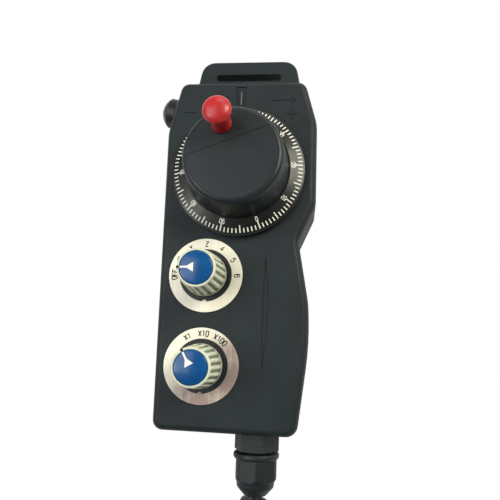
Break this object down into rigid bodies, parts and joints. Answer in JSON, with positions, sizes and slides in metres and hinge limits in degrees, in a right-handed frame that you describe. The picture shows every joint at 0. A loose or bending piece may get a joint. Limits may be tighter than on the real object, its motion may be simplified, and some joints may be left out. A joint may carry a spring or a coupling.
{
  "type": "handwheel pendant",
  "caption": "Handheld control pendant: a graduated handwheel with crank handle, two rotary selectors, an enable button, a strap tab and a glanded curly cord with its connector.",
  "frame": {"origin": "on the floor under the middle of the pendant lying on its back, midway between the dome of the enable button and the case side, and between the strap tab and the gland nut", "axes": "+Z out of the panel, +Y along the pendant towards the strap tab, +X to the right of the panel"},
  "size_m": [0.1147, 0.4324, 0.093],
  "materials": {
    "case_plastic": "satin moulded grain",
    "black_plastic": "satin",
    "wheel_plastic": "satin moulded",
    "scale_black": "black anodised, satin",
    "plate_metal": "brushed",
    "grip_grey": "satin",
    "cap_blue": "glossy",
    "mark_white": "satin",
    "handle_red": "glossy",
    "steel": "machined",
    "brass": "plated",
    "rubber": "matt",
    "board": "solder mask",
    "wafer": "phenolic",
    "cord_rubber": "satin",
    "plug_metal": "satin nickel"
  },
  "bodies": {
    "case": {"front_shell": "case_plastic", "rear_cover": "case_plastic", "case_gasket": "rubber", "case_screws": "steel", "wheel_base": "black_plastic", "base_screws": "steel", "front_bearing": "steel", "rear_bearing": "steel", "encoder_board": "board", "click_spring": "brass", "button_bezel": "black_plastic", "button_nut": "steel", "button_switch": "black_plastic", "main_board": "board", "terminal_block": "board", "gland_body": "black_plastic", "gland_locknut": "black_plastic", "gland_seal": "rubber", "gland_nut": "black_plastic", "cord_lead": "cord_rubber", "cord_curl": "cord_rubber", "cord_tail": "cord_rubber", "plug_shell": "plug_metal", "plug_ring": "plug_metal", "plug_insert": "black_plastic", "plug_pins": "brass", "plug_clamp": "rubber", "axis_plate": "plate_metal", "axis_skirt": "black_plastic", "axis_nut": "steel", "axis_switch": "black_plastic", "axis_wafer": "wafer", "step_plate": "plate_metal", "step_skirt": "black_plastic", "step_nut": "steel", "step_switch": "black_plastic", "step_wafer": "wafer"},
    "wheel": {"handwheel": "wheel_plastic", "scale_ring": "scale_black", "wheel_cover": "wheel_plastic", "wheel_bolt": "steel", "wheel_shaft": "steel", "encoder_disc": "steel", "click_ring": "brass", "handle_spindle": "steel"},
    "handle": {"crank_handle": "handle_red"},
    "axis_selector": {"axis_knob": "grip_grey", "axis_cap": "cap_blue", "axis_pointer": "mark_white", "axis_shaft": "steel"},
    "step_selector": {"step_knob": "grip_grey", "step_cap": "cap_blue", "step_pointer": "mark_white", "step_shaft": "steel"},
    "enable_button": {"button_cap": "rubber"}
  },
  "joints": [
    {"name": "wheel_spin", "type": "hinge", "parent": "case", "child": "wheel", "pos_m": [0.00407, 0.0545, 0.06], "axis": [0, 0, 1], "continuous": true},
    {"name": "handle_spin", "type": "hinge", "parent": "wheel", "child": "handle", "pos_m": [-0.00254, 0.07156, 0.082], "axis": [0, 0, 1], "continuous": true},
    {"name": "axis_select", "type": "hinge", "parent": "case", "child": "axis_selector", "pos_m": [-0.01303, -0.0086, 0.06], "axis": [0, 0, 1], "range_deg": [-180, 0]},
    {"name": "step_select", "type": "hinge", "parent": "case", "child": "step_selector", "pos_m": [-0.01303, -0.0613, 0.06], "axis": [0, 0, 1], "range_deg": [-60, 0]},
    {"name": "enable_press", "type": "slide", "parent": "case", "child": "enable_button", "axis": [0.9747, -0.2233, 0], "range_m": [0, 0.0025], "stiffness_N_per_m": 1200, "springref_m": -0.002}
  ]
}
